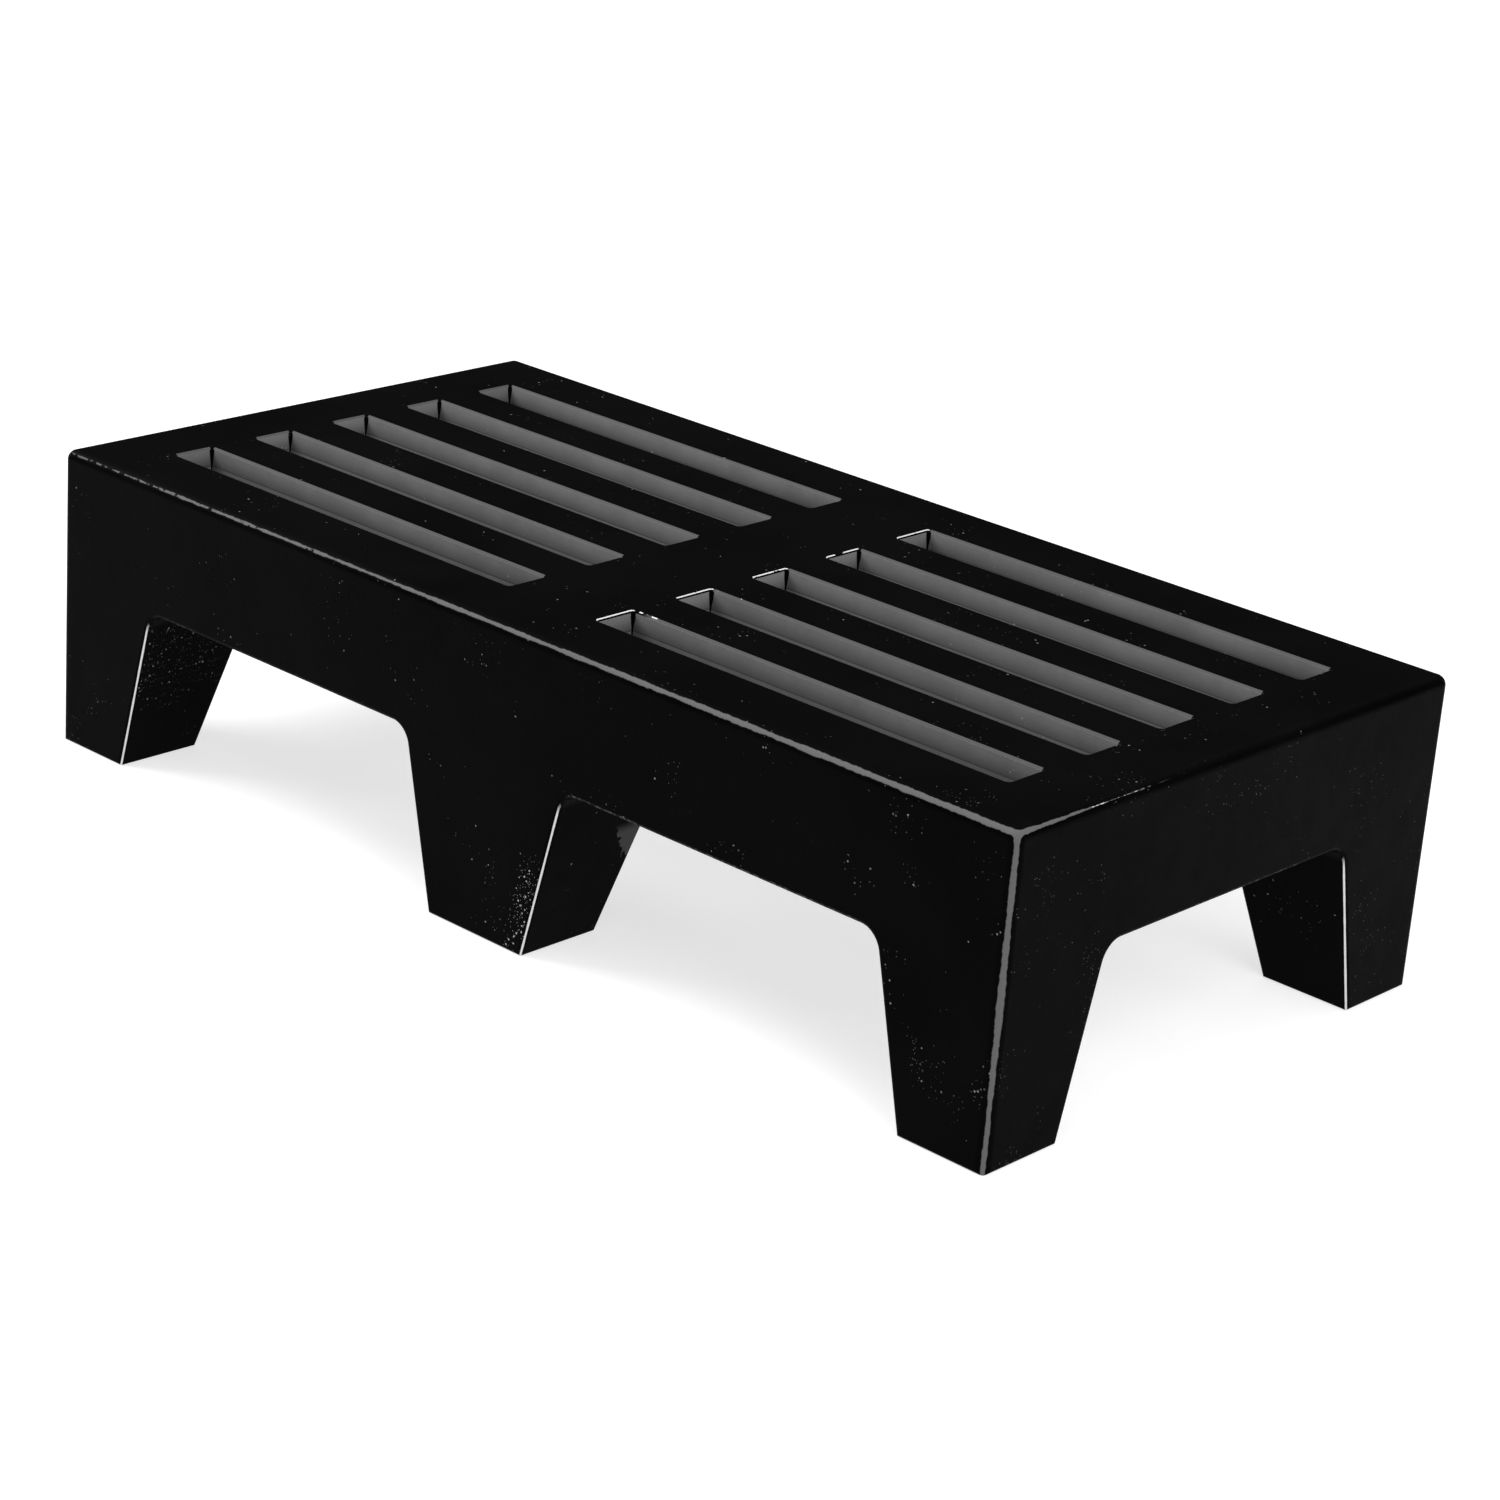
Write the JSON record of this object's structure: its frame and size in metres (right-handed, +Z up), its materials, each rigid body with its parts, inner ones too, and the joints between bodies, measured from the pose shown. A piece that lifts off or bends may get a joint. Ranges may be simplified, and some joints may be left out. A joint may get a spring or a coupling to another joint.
{
  "type": "dunnage rack",
  "caption": "Low moulded plastic platform with a slotted flat deck, deep skirts and tapered hollow legs, for keeping stored goods off the floor.",
  "frame": {"origin": "on the floor, in the middle of the rack's footprint", "axes": "+X along the length, +Y across the width towards the back, +Z up"},
  "size_m": [1.2192, 0.6096, 0.3048],
  "materials": {
    "shell": "satin black polyethylene with a fine moulded grain",
    "plug": "smooth dark grey polyethylene"
  },
  "bodies": {
    "root": {"front_rail": "shell", "rear_rail": "shell", "left_end_rail": "shell", "right_end_rail": "shell", "centre_bridge": "shell", "left_slat_1": "shell", "left_slat_2": "shell", "left_slat_3": "shell", "left_slat_4": "shell", "right_slat_1": "shell", "right_slat_2": "shell", "right_slat_3": "shell", "right_slat_4": "shell", "front_left_skirt": "shell", "front_right_skirt": "shell", "rear_left_skirt": "shell", "rear_right_skirt": "shell", "left_end_skirt": "shell", "right_end_skirt": "shell", "front_left_leg": "shell", "front_right_leg": "shell", "rear_left_leg": "shell", "rear_right_leg": "shell", "front_middle_leg": "shell", "rear_middle_leg": "shell", "vent_plug": "plug"}
  },
  "joints": []
}
